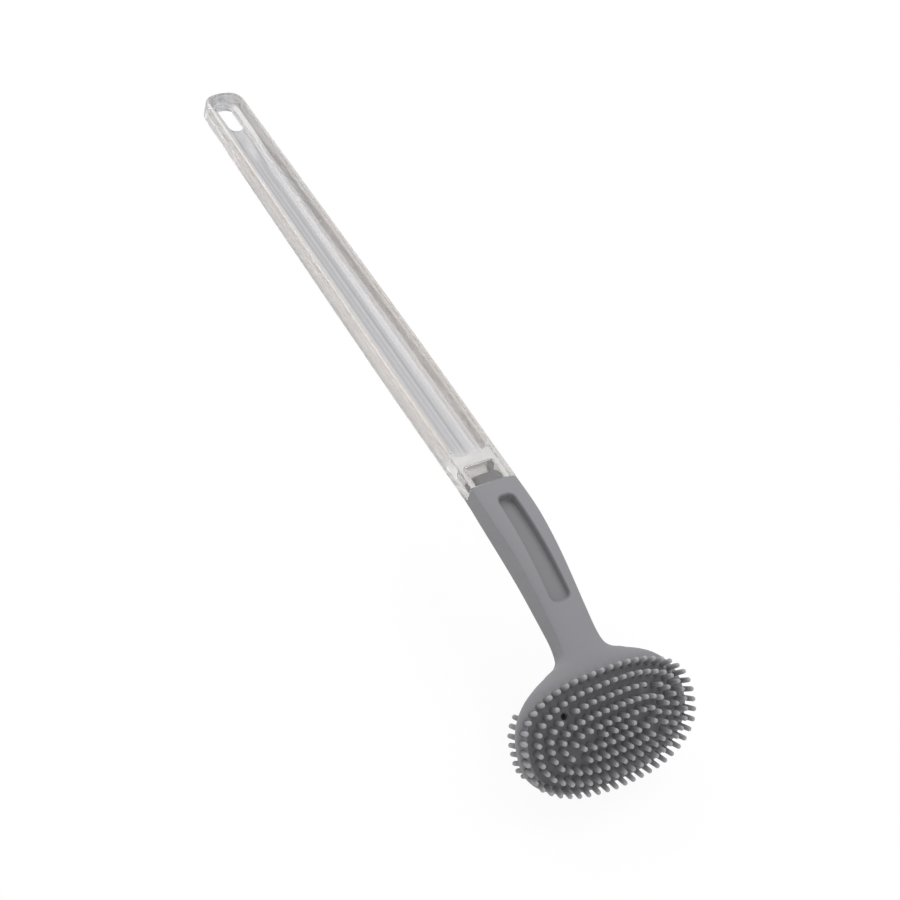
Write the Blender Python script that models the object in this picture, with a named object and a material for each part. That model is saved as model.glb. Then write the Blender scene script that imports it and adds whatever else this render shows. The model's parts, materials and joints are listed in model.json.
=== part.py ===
# Toilet brush: a clear channel handle plugged onto a rubber covered head.
#
# Every piece is first laid out in the handle's own frame, in metres: +X to the side, +Y up the
# handle, +Z out of its front, with the origin in the front of the joint between handle and neck.
# An empty then tips the whole brush onto its back, so that it lies on the floor at Z = 0.

import math

import bmesh
import bpy
from mathutils import Matrix, Vector

for old in list(bpy.data.objects):
    bpy.data.objects.remove(old, do_unlink=True)

# Clearance that neighbouring pieces keep to each other
GAP = 0.0003
# How far a cut runs past the surface that it opens
THROUGH = 0.0030

# Handle, one clear moulding
HANDLE_LENGTH = 0.2764
HANDLE_HALF_AT_NECK = 0.0122
HANDLE_HALF_AT_END = 0.0107
HANDLE_DEPTH_AT_NECK = 0.0116
HANDLE_DEPTH_AT_END = 0.0108
HANDLE_CORNER = 0.0058
HANDLE_CROWN_RADIUS = 0.082
HANDLE_EDGE = 0.0010
BACK_CORNER = 0.0012
WALL = 0.0021
FLOOR = 0.0026
CHANNEL_START = 0.0180
CHANNEL_CORNER = 0.0055
END_LAND = 0.0400
END_RECESS = 0.0060
END_WEB = 0.0026
SLOT_LENGTH = 0.0200
SLOT_WIDTH = 0.0083
SLOT_CENTRE_FROM_END = 0.0143

# Core, one rigid moulding hidden by the skin
TONGUE_LENGTH = 0.0068
TONGUE_HALF = 0.0080
TONGUE_THICK = 0.0050
TONGUE_DEEP = 0.0060
TONGUE_TAPER = 0.0006
TONGUE_TAPER_LENGTH = 0.0010
SOCKET_LENGTH = 0.0136
LATCH_THICK = 0.0030
# Each trio is a height above the joint and the inner and outer side of the latch there
LATCH_OUTLINE = ((0.0052, 0.0024, 0.0046), (0.0092, 0.0038, 0.0060), (0.0102, 0.0042, 0.0073),
                 (0.0124, 0.0047, 0.0073), (0.0130, 0.0052, 0.0068))
SPINE_HALF = 0.0055
SPINE_THICK = 0.0044
SPINE_DEEP = 0.0080
PLATE_THICK = 0.0026
PLATE_DEEP = 0.0062
PLATE_MARGIN = 0.0075

# Skin, the soft rubber over the core. The path runs down the middle of its front.
NECK_BEND_LENGTH = 0.065
NECK_BEND = math.radians(18.5)
NECK_CROWN_RADIUS = 0.072
NECK_LENGTH = 0.0925
SHOULDER_START = 0.0840
SHOULDER_BLEND = 0.0140
# Each pair is a share of the neck's length and a share of the handle's half width or depth there
NECK_OUTLINE = ((0.0, 1.0), (0.195, 1.008), (0.389, 0.943), (0.605, 0.869), (0.778, 0.828),
                (0.886, 0.828), (0.946, 0.934), (0.975, 1.180), (1.0, 1.607))
NECK_DEPTHS = ((0.0, 1.0), (0.151, 1.069), (0.389, 1.155), (0.649, 1.069), (0.908, 0.931))
RECESS_TOP = 0.0090
RECESS_BOTTOM = 0.0640
RECESS_HALF_TOP = 0.0042
RECESS_HALF_BOTTOM = 0.0052
RECESS_DEEP = 0.0034
RECESS_CORNER = 0.0028

# Head
FACE_CENTRE = 0.1243
FACE_TILT = math.radians(44.9)
FACE_RADIUS = 0.0615
FACE_CROSS_RADIUS = 0.183
HEAD_HALF = 0.0450
HEAD_UP = 0.0338
HEAD_DOWN = 0.0285
HEAD_POWER = 2.4
HEAD_DEPTH = 0.0110
HEAD_EDGE = 0.0022
BACK_CROSS_RADIUS = 0.560
BOTTOM_ROUND = 0.0050
BOTTOM_TAKEN = 0.75

# Pad, the front layer of the head with its nubs
PAD_THICK = 0.0032
PAD_UP = 0.0280
PAD_POWER = 2.8
PAD_BACK_RISE = 0.35

# Nubs
NUB_LENGTH = 0.0065
NUB_RADIUS = 0.00150
NUB_TAPER = 0.88
NUB_TIP = 0.60
NUB_CHAMFER = 0.0010
NUB_SIDES = 4
NUB_ROOT = 0.0016
OUTER_ROOT = 0.0017
RING_COUNTS = (20, 30, 36, 44, 50)
RING_STEP_ACROSS = 0.00535
RING_STEP_UP = 0.00505
OUTER_INSET_SIDE = 0.0018
OUTER_INSET_BOTTOM = 0.0044
RING_POWER = 2.7
RING_OFFSET = 0.0006
OUTER_LEAN = math.radians(3.0)
MIDDLE_COUNT = 4
MIDDLE_PITCH = 0.0050
HOLE_RING = 2
HOLE_PLACE = 5
PATCH_RING = 1
PATCH_PLACE = 10
HOLE_RADIUS = 0.00165

# Back nubs, one row on a band let into the back of the head
BACK_INSET_SIDE = 0.0048
BACK_INSET_BOTTOM = 0.0042
BACK_INSET_TOP = 0.0173
BACK_ROW_POWER = 2.9
BACK_ROW_PITCH = 0.0049
BACK_LEAN = math.radians(15.0)
BAND_HALF = 0.0017
BAND_THICK = 0.0016
BAND_PROUD = 0.0002
BAND_NAMES = ("right", "lower_right", "lower_left", "left")
BACK_ROOT = 0.0010

# How square the rounded sections are: 2 is an ellipse
FRONT_POWER = 3.0
HEAD_ROUND = 3.0
CHANNEL_POWER = 3.2
TONGUE_POWER = 5.0
SOCKET_POWER = 6.0
SQUARE_POWER = 8.0

# How finely the round shapes are cut
SECTION_STEPS = 5
PATH_STEP = 0.0005
OVAL_STEPS = 720
PIN_SIDES = 12
SLOT_STEPS = 8
CORNER_STEPS = 6
RIM_STEPS = 6
PAD_STEPS = 8
UPPER_SWEEP = math.radians(84.0)
LOWER_SWEEP = math.radians(78.0)
LAST_STATION = 0.996
NECK_STATIONS = (0.0, 0.065, 0.130, 0.216, 0.303, 0.389, 0.476, 0.562, 0.649, 0.735, 0.811,
                 0.865, 0.908, 0.941, 0.962, 0.981, 1.0, 1.022, 1.049, 1.081)
SPINE_STATIONS = 6
PLATE_UPPER = (1.0, 0.886, 0.696, 0.392)
PLATE_LOWER = (0.0, 0.367, 0.652, 0.819, 0.914)


def smooth(t):
    """Rise from 0 to 1 without a corner at either end."""
    t = min(max(t, 0.0), 1.0)
    return t * t * (3.0 - 2.0 * t)


def between(points, at):
    """Smooth curve through the points, flat at each end of the list."""
    if at <= points[0][0]:
        return points[0][1]
    if at >= points[-1][0]:
        return points[-1][1]
    last = len(points) - 1
    index = max(i for i in range(last) if points[i][0] <= at)
    (x0, y0), (x1, y1) = points[index], points[index + 1]

    def tangent(i):
        if i in (0, last):
            return 0.0
        return (points[i + 1][1] - points[i - 1][1]) / (points[i + 1][0] - points[i - 1][0])

    width = x1 - x0
    t = (at - x0) / width
    rise = y0 * (1 + 2 * t) * (1 - t) ** 2 + y1 * t * t * (3 - 2 * t)
    return rise + width * (tangent(index) * t * (1 - t) ** 2 - tangent(index + 1) * t * t * (1 - t))


# The path down the front, measured from the joint with the handle
FACE_START = FACE_CENTRE - FACE_RADIUS * (FACE_TILT - NECK_BEND)


def slope(s):
    """Angle by which the front has turned backwards from the handle's front."""
    bend = NECK_BEND * smooth(s / NECK_BEND_LENGTH)
    return bend + max(0.0, s - FACE_START) / FACE_RADIUS


def walk(length):
    """Points on the path, one every PATH_STEP."""
    y = z = 0.0
    points = [(y, z)]
    for i in range(math.ceil(length / PATH_STEP)):
        angle = slope((i + 0.5) * PATH_STEP)
        y -= PATH_STEP * math.cos(angle)
        z -= PATH_STEP * math.sin(angle)
        points.append((y, z))
    return points


PATH = walk(FACE_CENTRE + 2.0 * HEAD_DOWN)


def place(s, x, height):
    """Point at s along the path, x to the side and height out of the front."""
    angle = slope(s)
    if s <= 0.0:
        y, z = -s, 0.0
    else:
        index = min(int(s / PATH_STEP), len(PATH) - 2)
        part = s / PATH_STEP - index
        (y0, z0), (y1, z1) = PATH[index], PATH[index + 1]
        y = y0 + (y1 - y0) * part
        z = z0 + (z1 - z0) * part
    return Vector((x, y - math.sin(angle) * height, z + math.cos(angle) * height))


def outward(s):
    """Unit vector out of the front at s."""
    angle = slope(s)
    return Vector((0.0, -math.sin(angle), math.cos(angle)))


def up_face(s):
    """Unit vector up the front at s, towards the handle."""
    angle = slope(s)
    return Vector((0.0, math.cos(angle), math.sin(angle)))


SIDE = Vector((1.0, 0.0, 0.0))


def crown(x, radius):
    """How far a crowned surface has dropped at x from its middle."""
    return x * x / (2.0 * radius)


def upright(i, half, height):
    """Point i of an upright side and flat back, as parts of the half width and height."""
    i = min(i, 2 * SECTION_STEPS - i)
    if i in (0, SECTION_STEPS):
        return (1.0, 0.0) if i == 0 else (0.0, 1.0)
    turn = 0.5 * math.pi * (i - 1) / (SECTION_STEPS - 2)
    return (1.0 - BACK_CORNER * (1.0 - math.cos(turn)) / half,
            1.0 - BACK_CORNER * (1.0 - math.sin(turn)) / height)


def section(s, half, front, back, front_radius, back_radius, edge, power, square=0.0):
    """Closed loop across the path: crowned front and back, joined round the edges.

    front and back are the depths of the two middles. The front is rounded over the depth
    edge. The rest of the side is an oval of the given power where square is 0, and upright
    with a small round corner where square is 1."""
    edge_back = (back + crown(half, back_radius)) - (front + crown(half, front_radius)) - edge
    loop = []
    for i in range(4 * SECTION_STEPS):
        turn = 0.5 * math.pi * i / SECTION_STEPS
        in_front = i <= 2 * SECTION_STEPS
        bend = min(power, FRONT_POWER) if in_front else power
        q = abs(math.cos(turn)) ** (2.0 / bend)
        c = abs(math.sin(turn)) ** (2.0 / bend)
        if square > 0.0 and not in_front:
            corner_q, corner_c = upright(i % (2 * SECTION_STEPS), half, edge_back)
            q += (corner_q - q) * square
            c += (corner_c - c) * square
        x = half * q * (1.0 if math.cos(turn) >= 0.0 else -1.0)
        if in_front:
            depth = front + crown(x, front_radius) + edge * (1.0 - c)
        else:
            depth = back + crown(x, back_radius) - edge_back * (1.0 - c)
        loop.append(place(s, x, -depth))
    return loop


def mesh_from(name, build):
    """Mesh whose bmesh is filled by build and whose faces then point out."""
    mesh = bpy.data.meshes.new(name)
    bm = bmesh.new()
    build(bm)
    bmesh.ops.recalc_face_normals(bm, faces=bm.faces)
    bm.to_mesh(mesh)
    bm.free()
    return mesh


def loft(bm, loops):
    """Skin over loops of equal length, with both ends closed."""
    rings = [[bm.verts.new(point) for point in loop] for loop in loops]
    count = len(rings[0])
    for low, high in zip(rings[:-1], rings[1:]):
        for i in range(count):
            j = (i + 1) % count
            bm.faces.new((low[i], low[j], high[j], high[i]))
    bm.faces.new(rings[0])
    bm.faces.new(list(reversed(rings[-1])))


rest = bpy.data.objects.new("rest_pose", None)
bpy.context.collection.objects.link(rest)
head_pull = bpy.data.objects.new("head_pull_axis", None)
bpy.context.collection.objects.link(head_pull)
head_pull.parent = rest


def material(name, colour, roughness, metallic=0.0, alpha=1.0, transmission=0.0):
    """Principled material of one plain finish."""
    made = bpy.data.materials.new(name)
    made.use_nodes = True
    shader = made.node_tree.nodes["Principled BSDF"]
    shader.inputs["Base Color"].default_value = (*colour, 1.0)
    shader.inputs["Roughness"].default_value = roughness
    shader.inputs["Metallic"].default_value = metallic
    shader.inputs["Alpha"].default_value = alpha
    shader.inputs["Transmission Weight"].default_value = transmission
    made.diffuse_color = (*colour, alpha)
    return made


def add(name, mesh, parent, finish):
    """Object for one node, below its empty."""
    piece = bpy.data.objects.new(name, mesh)
    bpy.context.collection.objects.link(piece)
    piece.parent = parent
    if finish is not None:
        piece.data.materials.append(finish)
        piece.data.shade_smooth()
        piece.data.set_sharp_from_angle(angle=math.radians(35.0))
    return piece


def cutter(name, build, parent):
    """Hidden solid that is taken away from a piece."""
    piece = add(name, mesh_from(name, build), parent, None)
    piece.hide_render = True
    piece.display_type = "WIRE"
    return piece


def combine(piece, other, operation):
    """Boolean of the piece with another object."""
    step = piece.modifiers.new(other.name, "BOOLEAN")
    step.operation = operation
    step.object = other
    step.solver = "EXACT"


def corner_half(half, corner, distance):
    """Half width of a flat shape with round corners, at a distance from its end."""
    if distance >= corner:
        return half
    return half - corner + math.sqrt(max(corner ** 2 - (corner - distance) ** 2, 0.0))


def corner_steps(corner, count=CORNER_STEPS):
    """Distances from an end at which a round corner is cut, the end first."""
    return [corner * (1.0 - math.cos(0.5 * math.pi * i / count)) for i in range(count + 1)]


# Handle: an open channel with a block at the neck end and a hanging slot at the other end
def handle_half(y):
    part = y / HANDLE_LENGTH
    return HANDLE_HALF_AT_NECK * (1.0 - part) + HANDLE_HALF_AT_END * part


def handle_depth(y):
    part = y / HANDLE_LENGTH
    return HANDLE_DEPTH_AT_NECK * (1.0 - part) + HANDLE_DEPTH_AT_END * part


def build_handle(bm):
    stations = [0.0, 0.5 * HANDLE_LENGTH]
    stations += [HANDLE_LENGTH - d for d in reversed(corner_steps(HANDLE_CORNER))]
    loft(bm, [section(-y, corner_half(handle_half(y), HANDLE_CORNER, HANDLE_LENGTH - y), 0.0,
                      handle_depth(y), HANDLE_CROWN_RADIUS, math.inf, HANDLE_EDGE, HEAD_ROUND, 1.0)
              for y in stations])


def channel(bm, start, end, depth_at, start_corner, end_corner):
    """Trough between the two side walls, open at the front and rounded at its ends."""
    stations = [start + d for d in corner_steps(start_corner)]
    stations += [end - d for d in reversed(corner_steps(end_corner))]
    loops = []
    for y in stations:
        half = handle_half(y) - WALL
        half = corner_half(half, start_corner, y - start)
        half = corner_half(half, end_corner, end - y)
        loops.append(section(-y, half, -THROUGH, depth_at(y), math.inf, math.inf, THROUGH,
                             CHANNEL_POWER))
    loft(bm, loops)


def build_deep_channel(bm):
    channel(bm, CHANNEL_START, HANDLE_LENGTH - END_LAND,
            lambda y: handle_depth(y) - FLOOR, CHANNEL_CORNER, CHANNEL_CORNER)


def build_end_recess(bm):
    channel(bm, HANDLE_LENGTH - END_LAND - 2.0 * CHANNEL_CORNER, HANDLE_LENGTH - WALL,
            lambda y: END_RECESS, CHANNEL_CORNER, HANDLE_CORNER - WALL)


def build_back_recess(bm):
    """Hollow in the back of the end, which leaves a thin web round the slot."""
    start = HANDLE_LENGTH - END_LAND + 2.0 * CHANNEL_CORNER
    end = HANDLE_LENGTH - WALL
    corner = HANDLE_CORNER - WALL
    stations = [start + d for d in corner_steps(CHANNEL_CORNER)]
    stations += [end - d for d in reversed(corner_steps(corner))]
    loops = []
    for y in stations:
        half = corner_half(handle_half(y) - WALL, CHANNEL_CORNER, y - start)
        half = corner_half(half, corner, end - y)
        loops.append(section(-y, half, END_RECESS + END_WEB, handle_depth(y) + THROUGH, math.inf,
                             math.inf, BACK_CORNER, SQUARE_POWER))
    loft(bm, loops)


def build_slot(bm):
    centre = HANDLE_LENGTH - SLOT_CENTRE_FROM_END
    radius = 0.5 * SLOT_WIDTH
    straight = 0.5 * SLOT_LENGTH - radius
    loops = []
    for z in (THROUGH, -handle_depth(centre) - THROUGH):
        loop = []
        for side in (1.0, -1.0):
            for i in range(SLOT_STEPS + 1):
                turn = math.pi * i / SLOT_STEPS
                loop.append(Vector((side * radius * math.cos(turn),
                                    centre + side * (straight + radius * math.sin(turn)), z)))
        loops.append(loop)
    loft(bm, loops)


def build_socket(bm):
    loft(bm, [section(-y, TONGUE_HALF + GAP, TONGUE_DEEP - 0.5 * TONGUE_THICK - GAP,
                      TONGUE_DEEP + 0.5 * TONGUE_THICK + GAP, math.inf, math.inf,
                      0.5 * TONGUE_THICK + GAP, SOCKET_POWER)
              for y in (-THROUGH, SOCKET_LENGTH)])


clear = material("clear_plastic", (0.90, 0.90, 0.91), 0.05, alpha=0.45, transmission=0.9)
handle = add("handle", mesh_from("handle", build_handle), rest, clear)
for cut_name, cut in (("deep_channel_cut", build_deep_channel), ("end_recess_cut", build_end_recess),
                      ("back_recess_cut", build_back_recess),
                      ("slot_cut", build_slot), ("socket_cut", build_socket)):
    combine(handle, cutter(cut_name, cut, rest), "DIFFERENCE")


# Outline of the head, as a half width over the distance up the face from its centre
def oval_half(up, half, reach, power):
    part = abs(up) / reach
    if part >= 1.0:
        return 0.0
    return half * (1.0 - part ** power) ** (1.0 / power)


def shoulder(s):
    """How far the neck's section has turned into the head's."""
    return smooth((s - SHOULDER_START) / SHOULDER_BLEND)


def skin_half(s):
    """Half width of neck, shoulder and head."""
    up = FACE_CENTRE - s
    neck = HANDLE_HALF_AT_NECK * between(NECK_OUTLINE, s / NECK_LENGTH)
    if up <= 0.0:
        return oval_half(up, HEAD_HALF, HEAD_DOWN, HEAD_POWER)
    return max(neck, oval_half(up, HEAD_HALF, HEAD_UP, HEAD_POWER))


def skin_depth(s):
    """Thickness of neck and head in the middle."""
    neck = HANDLE_DEPTH_AT_NECK * between(NECK_DEPTHS, s / NECK_LENGTH)
    return neck + (HEAD_DEPTH - neck) * shoulder(s)


def front_radius(s):
    """Radius across the front, tight on the neck and wide on the face."""
    part = shoulder(s)
    return 1.0 / ((1.0 - part) / NECK_CROWN_RADIUS + part / FACE_CROSS_RADIUS)


def back_radius(s):
    """Radius across the back, flat on the neck and nearly flat on the head."""
    part = shoulder(s)
    return BACK_CROSS_RADIUS / part if part > 0.0 else math.inf


def bottom_shrink(s):
    """Depth taken off both sides where the lower rim rounds off."""
    left = (FACE_CENTRE + HEAD_DOWN - s) / BOTTOM_ROUND
    if left >= 1.0:
        return 0.0
    return 1.0 - math.sqrt(max(1.0 - (1.0 - left) ** 2, 0.0))


def rim_stations():
    """Stations from the middle of the face to the lower rim, closer together towards it."""
    swept = [math.sin(LOWER_SWEEP * i / RIM_STEPS) for i in range(RIM_STEPS + 1)]
    return [FACE_CENTRE + HEAD_DOWN * part for part in swept + [LAST_STATION]]


def skin_stations():
    """Stations down the neck and over the whole face."""
    neck = [NECK_LENGTH * part for part in NECK_STATIONS]
    rim = rim_stations()
    upper = [neck[-1] + (rim[0] - neck[-1]) * i / SECTION_STEPS for i in range(1, SECTION_STEPS)]
    return neck + upper + rim


def build_skin(bm):
    loops = []
    for s in skin_stations():
        start = max(s, GAP)
        depth = skin_depth(s)
        half = skin_half(s)
        rim = depth - crown(half, FACE_CROSS_RADIUS)
        shrink = 0.5 * BOTTOM_TAKEN * bottom_shrink(s) * rim
        edge = HANDLE_EDGE + (HEAD_EDGE - HANDLE_EDGE) * shoulder(s)
        loops.append(section(start, half, shrink, depth - shrink, front_radius(s), back_radius(s),
                             edge * (1.0 - bottom_shrink(s)), HEAD_ROUND, 1.0 - shoulder(s)))
    loft(bm, loops)


def build_recess(bm):
    """Long shallow slot in the front of the neck."""
    length = RECESS_BOTTOM - RECESS_TOP
    loops = []
    marks = corner_steps(RECESS_CORNER)
    stations = [RECESS_TOP + d for d in marks]
    stations += [RECESS_TOP + length * part for part in (0.25, 0.42, 0.58, 0.75)]
    stations += [RECESS_BOTTOM - d for d in reversed(marks)]
    for s in stations:
        half = RECESS_HALF_TOP + (RECESS_HALF_BOTTOM - RECESS_HALF_TOP) * (s - RECESS_TOP) / length
        half = corner_half(half, RECESS_CORNER, s - RECESS_TOP)
        half = corner_half(half, RECESS_CORNER, RECESS_BOTTOM - s)
        loops.append(section(s, half, -THROUGH, RECESS_DEEP, math.inf, math.inf, THROUGH,
                             SQUARE_POWER))
    loft(bm, loops)


# Core: tongue with its latch, spine and plate in one, and the room for it inside the skin
def core_loops(grow):
    """Sections of the core, all of them grown by the clearance."""
    loops = []
    tongue = -TONGUE_LENGTH - (THROUGH if grow else 0.0)
    for s, less in ((tongue, TONGUE_TAPER), (tongue + TONGUE_TAPER_LENGTH, 0.0), (0.0, 0.0)):
        loops.append(core_section(s, TONGUE_HALF - less, TONGUE_THICK - 2.0 * less, TONGUE_DEEP,
                                  math.inf, grow))
    plate_start = SHOULDER_START - SHOULDER_BLEND
    for i in range(1, SPINE_STATIONS + 1):
        loops.append(core_section(plate_start * i / SPINE_STATIONS, SPINE_HALF, SPINE_THICK,
                                  SPINE_DEEP, math.inf, grow))
    reach_up = HEAD_UP - PLATE_MARGIN
    reach_down = HEAD_DOWN - PLATE_MARGIN
    half = HEAD_HALF - PLATE_MARGIN
    stations = [SHOULDER_START, 0.5 * (SHOULDER_START + FACE_CENTRE - reach_up)]
    stations += [FACE_CENTRE - reach_up * part for part in PLATE_UPPER]
    stations += [FACE_CENTRE + reach_down * part for part in PLATE_LOWER]
    for s in stations:
        reach = reach_up if s < FACE_CENTRE else reach_down
        wide = max(SPINE_HALF, oval_half(FACE_CENTRE - s, half, reach, HEAD_POWER))
        part = smooth((s - plate_start) / (1.5 * SHOULDER_BLEND))
        thick = SPINE_THICK + (PLATE_THICK - SPINE_THICK) * part
        deep = SPINE_DEEP + (PLATE_DEEP - SPINE_DEEP) * part
        loops.append(core_section(s, wide, thick, deep, front_radius(s), grow))
    end = FACE_CENTRE + reach_down + grow
    loops.append(core_section(end, SPINE_HALF, PLATE_THICK, PLATE_DEEP, FACE_CROSS_RADIUS, grow))
    return loops


def build_latch(bm):
    """Hooked arm that stands on one side of the tongue."""
    front, back = -TONGUE_DEEP + 0.5 * LATCH_THICK, -TONGUE_DEEP - 0.5 * LATCH_THICK
    loft(bm, [[Vector((inner, y, back)), Vector((outer, y, back)), Vector((outer, y, front)),
               Vector((inner, y, front))] for y, inner, outer in LATCH_OUTLINE])


def core_section(s, half, thick, deep, radius, grow):
    half += grow
    thick += 2.0 * grow
    return section(s, half, deep - 0.5 * thick, deep + 0.5 * thick, radius, radius,
                   0.5 * thick, TONGUE_POWER)


# Pad: its loops follow the face, and the seat in the skin is the same shape with the clearance
def pad_half(s):
    up = FACE_CENTRE - s
    if up > 0.0:
        return oval_half(up, HEAD_HALF, PAD_UP, PAD_POWER)
    return oval_half(up, HEAD_HALF, HEAD_DOWN, HEAD_POWER)


def pad_loops(grow):
    loops = []
    upper = [FACE_CENTRE - PAD_UP * math.sin(UPPER_SWEEP * i / PAD_STEPS)
             for i in range(PAD_STEPS, 0, -1)]
    lower = rim_stations()
    for s in upper + lower:
        half = pad_half(s)
        depth = HEAD_DEPTH - crown(half, FACE_CROSS_RADIUS)
        shrink = 0.5 * BOTTOM_TAKEN * bottom_shrink(s) * depth
        edge = HEAD_EDGE * (1.0 - bottom_shrink(s))
        back = PAD_THICK + PAD_BACK_RISE * shrink
        if grow:
            places = [s - grow, s] if s == upper[0] else [s]
            places += [s + 2.0 * HEAD_EDGE] if s == lower[-1] else []
            loops += [section(at, half + grow, -2.0 * HEAD_EDGE, back + grow, FACE_CROSS_RADIUS,
                              FACE_CROSS_RADIUS, 2.0 * HEAD_EDGE + edge, SQUARE_POWER)
                      for at in places]
        else:
            loops.append(section(s, half, shrink, back, FACE_CROSS_RADIUS, FACE_CROSS_RADIUS,
                                 min(edge, 0.6 * (back - shrink)), HEAD_ROUND))
    return loops


# Nubs: rings of equal spacing on the face
def oval_points(half, reach, power, count):
    """Points of equal spacing round an oval, starting at its top, with their outward side."""
    def at(turn):
        x = half * abs(math.sin(turn)) ** (2.0 / power) * (1.0 if math.sin(turn) >= 0.0 else -1.0)
        y = reach * abs(math.cos(turn)) ** (2.0 / power) * (1.0 if math.cos(turn) >= 0.0 else -1.0)
        return Vector((x, y))

    outline = [at(math.tau * i / OVAL_STEPS) for i in range(OVAL_STEPS + 1)]
    lengths = [0.0]
    for a, b in zip(outline[:-1], outline[1:]):
        lengths.append(lengths[-1] + (b - a).length)
    points = []
    index = 0
    for i in range(count):
        target = lengths[-1] * i / count
        while lengths[index + 1] < target:
            index += 1
        span = lengths[index + 1] - lengths[index]
        part = (target - lengths[index]) / span if span > 0.0 else 0.0
        point = outline[index].lerp(outline[index + 1], part)
        normal = Vector((point.x / half ** 2, point.y / reach ** 2)).normalized()
        points.append((point, normal))
    return points


def face_nubs():
    """Foot and direction of every nub on the face, and the places of the two holes."""
    nubs = []
    holes = []
    for ring, count in enumerate(RING_COUNTS):
        inwards = len(RING_COUNTS) - 1 - ring
        half = HEAD_HALF - OUTER_INSET_SIDE - inwards * RING_STEP_ACROSS
        reach = HEAD_DOWN - OUTER_INSET_BOTTOM - inwards * RING_STEP_UP
        for i, (point, side) in enumerate(oval_points(half, reach, RING_POWER, count)):
            s = FACE_CENTRE - RING_OFFSET - point.y
            if ring == HOLE_RING and i in (HOLE_PLACE, count - HOLE_PLACE):
                holes.append((s, point.x))
                continue
            if ring == PATCH_RING and i in (PATCH_PLACE, count - PATCH_PLACE):
                continue
            lean = math.tan(OUTER_LEAN) if inwards == 0 else 0.0
            nubs.append((s, point.x, side * lean))
    for i in range(MIDDLE_COUNT):
        x = (i - 0.5 * (MIDDLE_COUNT - 1)) * MIDDLE_PITCH
        nubs.append((FACE_CENTRE - RING_OFFSET, x, Vector((0.0, 0.0))))
    feet = []
    for s, x, lean in nubs:
        foot = place(s, x, -crown(x, FACE_CROSS_RADIUS))
        way = outward(s) + SIDE * (x / FACE_CROSS_RADIUS + lean.x) + up_face(s) * lean.y
        feet.append((foot, way.normalized(), OUTER_ROOT if lean.length > 0.0 else NUB_ROOT))
    return feet, holes


def nub(bm, foot, way, root):
    """One tapered peg of few sides, with its root below the surface."""
    across = way.cross(SIDE).normalized()
    along = across.cross(way).normalized()
    rings = []
    for height, radius in ((-root, NUB_RADIUS), (NUB_LENGTH - NUB_CHAMFER, NUB_TAPER * NUB_RADIUS),
                           (NUB_LENGTH, NUB_TIP * NUB_TAPER * NUB_RADIUS)):
        ring = []
        for i in range(NUB_SIDES):
            turn = math.tau * (i + 0.5) / NUB_SIDES
            ring.append(foot + way * height
                        + (along * math.cos(turn) + across * math.sin(turn)) * radius)
        rings.append(ring)
    loft(bm, rings)


FEET, HOLES = face_nubs()


def build_pins(bm):
    """Two holes where the mould held the core, through pad and skin down to the plate."""
    for s, x in HOLES:
        top = place(s, x, -crown(x, FACE_CROSS_RADIUS))
        loops = []
        for height in (THROUGH, -(PLATE_DEEP - 0.5 * PLATE_THICK)):
            centre = top + outward(s) * height
            turns = [math.tau * i / PIN_SIDES for i in range(PIN_SIDES)]
            loops.append([centre + (SIDE * math.cos(turn) + up_face(s) * math.sin(turn))
                          * HOLE_RADIUS for turn in turns])
        loft(bm, loops)


# Back nubs: a band let into the back of the head, open at the shoulder
def back_height(s, x):
    return -(skin_depth(s) + crown(x, BACK_CROSS_RADIUS))


def back_row(count):
    """Points of equal spacing down one side, round the bottom and up the other side."""
    outline = oval_points(HEAD_HALF - BACK_INSET_SIDE, HEAD_DOWN - BACK_INSET_BOTTOM,
                          BACK_ROW_POWER, OVAL_STEPS)
    kept = [item for item in outline if item[0].y <= HEAD_UP - BACK_INSET_TOP]
    lengths = [0.0]
    for a, b in zip(kept[:-1], kept[1:]):
        lengths.append(lengths[-1] + (b[0] - a[0]).length)
    row = []
    for i in range(count):
        target = lengths[-1] * i / (count - 1)
        index = min(range(len(lengths)), key=lambda k: abs(lengths[k] - target))
        row.append(kept[index])
    return row, lengths[-1]


BANDS = len(BAND_NAMES)
BACK_COUNT = BANDS * round((back_row(2)[1] / BACK_ROW_PITCH + 1.0) / BANDS)


def back_frames(count):
    """Foot, direction out of the back and direction across the band."""
    frames = []
    for point, side in back_row(count)[0]:
        s = FACE_CENTRE - point.y
        foot = place(s, point.x, back_height(s, point.x))
        out = (SIDE * side.x + up_face(FACE_CENTRE) * side.y).normalized()
        way = (out * math.tan(BACK_LEAN) - outward(FACE_CENTRE)).normalized()
        across = (out - way * out.dot(way)).normalized()
        frames.append((foot, way, across))
    return frames


def build_band(bm, grow, first, last):
    """Strip of rubber below the nubs from first to last, ending between two of them."""
    every = back_frames(2 * BACK_COUNT - 1)
    low_end, high_end = 2 * first - 1, 2 * last + 1
    frames = every[max(low_end, 0):high_end + 1]
    loops = []
    for i, (foot, way, across) in enumerate(frames):
        if i in (0, len(frames) - 1):
            nearest = frames[1] if i == 0 else frames[-2]
            inner = low_end >= 0 if i == 0 else high_end < len(every)
            reach = -0.5 * GAP if inner else BAND_HALF + grow
            foot = foot + (foot - nearest[0]).normalized() * reach
        half = BAND_HALF + grow
        low = -BAND_THICK - grow
        high = BAND_PROUD + 5.0 * grow
        loops.append([foot + across * half + way * high, foot - across * half + way * high,
                      foot - across * half + way * low, foot + across * half + way * low])
    loft(bm, loops)


rubber = material("grey_rubber", (0.28, 0.28, 0.30), 0.62)
rigid = material("grey_plastic", (0.22, 0.22, 0.24), 0.45)
nub_rubber = material("nub_rubber", (0.28, 0.28, 0.30), 0.55)
back_rubber = material("back_nub_rubber", (0.28, 0.28, 0.30), 0.55)

core = add("core", mesh_from("core", lambda bm: loft(bm, core_loops(0.0))), head_pull, rigid)
combine(core, cutter("latch", build_latch, head_pull), "UNION")

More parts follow.
